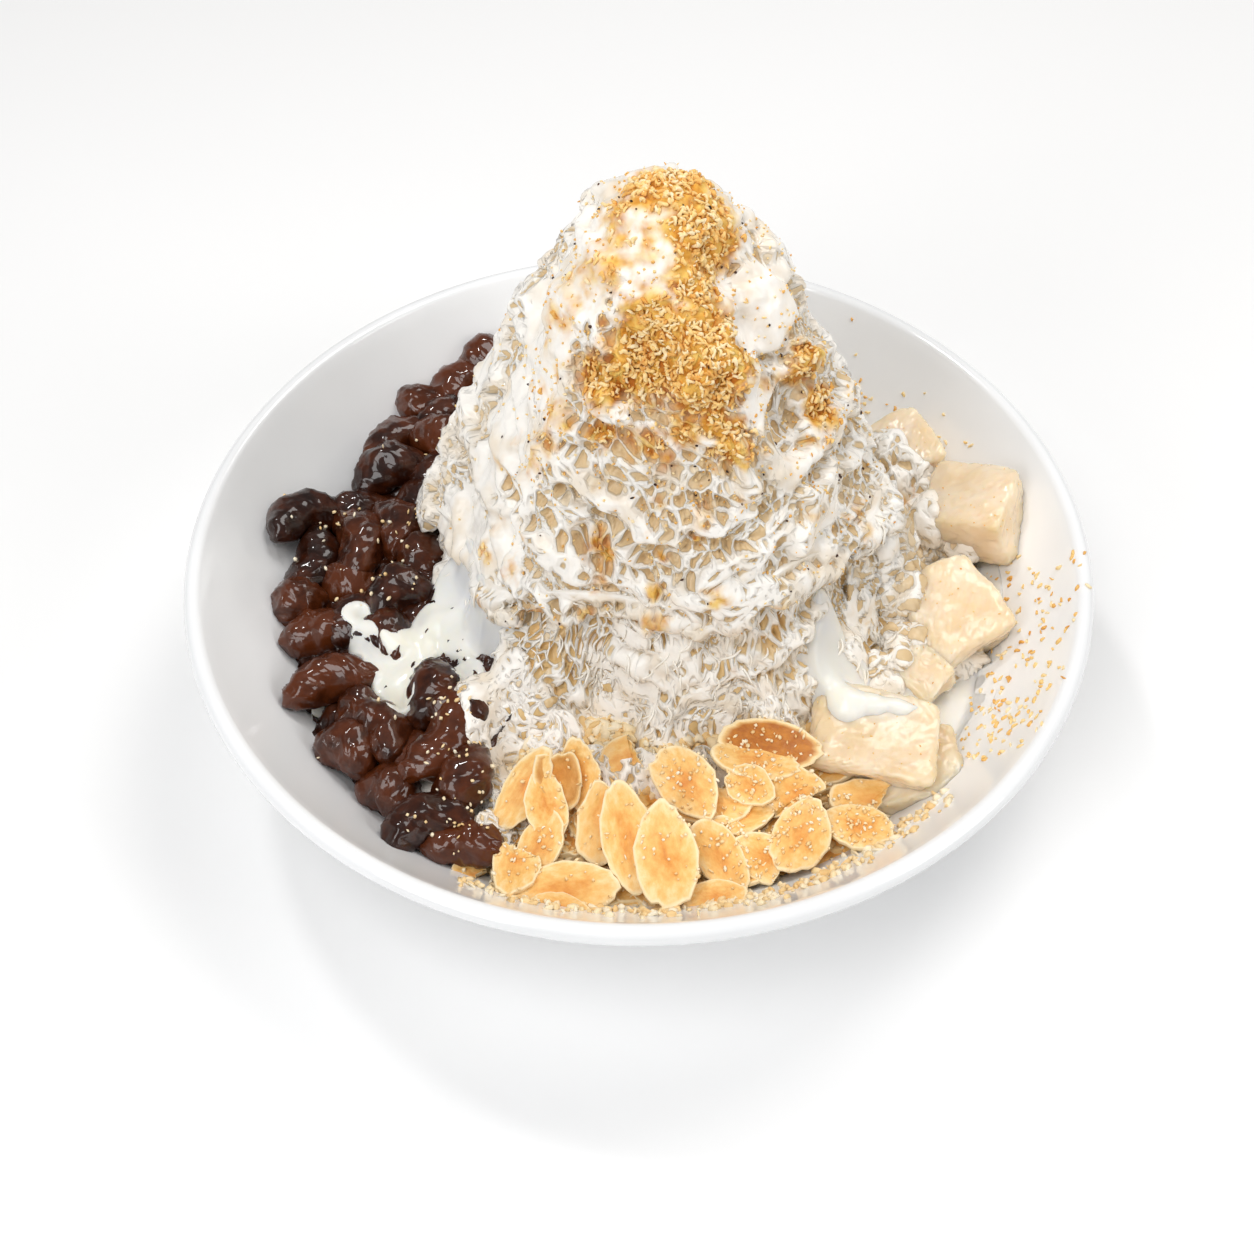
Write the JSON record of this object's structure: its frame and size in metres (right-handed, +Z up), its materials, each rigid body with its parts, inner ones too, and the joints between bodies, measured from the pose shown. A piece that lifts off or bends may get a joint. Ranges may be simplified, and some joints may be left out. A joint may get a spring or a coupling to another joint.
{
  "type": "shaved ice dessert in a bowl",
  "caption": "Korean shaved ice dessert: a tall peak of creamy ice in a footed white bowl, with sweet red beans, almond slices, rice cakes, soybean powder and milk.",
  "frame": {"origin": "centre of the circle that the bowl's foot stands on", "axes": "+Z up through the peak, -Y towards the almond slices at the front, -X towards the beans, +X towards the rice cakes"},
  "size_m": [0.18, 0.18, 0.1291],
  "materials": {
    "porcelain": "white glazed porcelain, glossy",
    "shaved_ice": null,
    "bean": null,
    "almond": null,
    "rice_cake": null,
    "milk": null
  },
  "bodies": {
    "root": {"bowl": "porcelain", "shaved_ice": "shaved_ice", "sweet_beans": "bean", "almond_slices": "almond", "rice_cake_1": "rice_cake", "rice_cake_2": "rice_cake", "rice_cake_3": "rice_cake", "rice_cake_4": "rice_cake", "rice_cake_5": "rice_cake", "rice_cake_6": "rice_cake", "milk_pool": "milk", "cream_spill": "milk", "cream_tongue": "milk"}
  },
  "joints": []
}
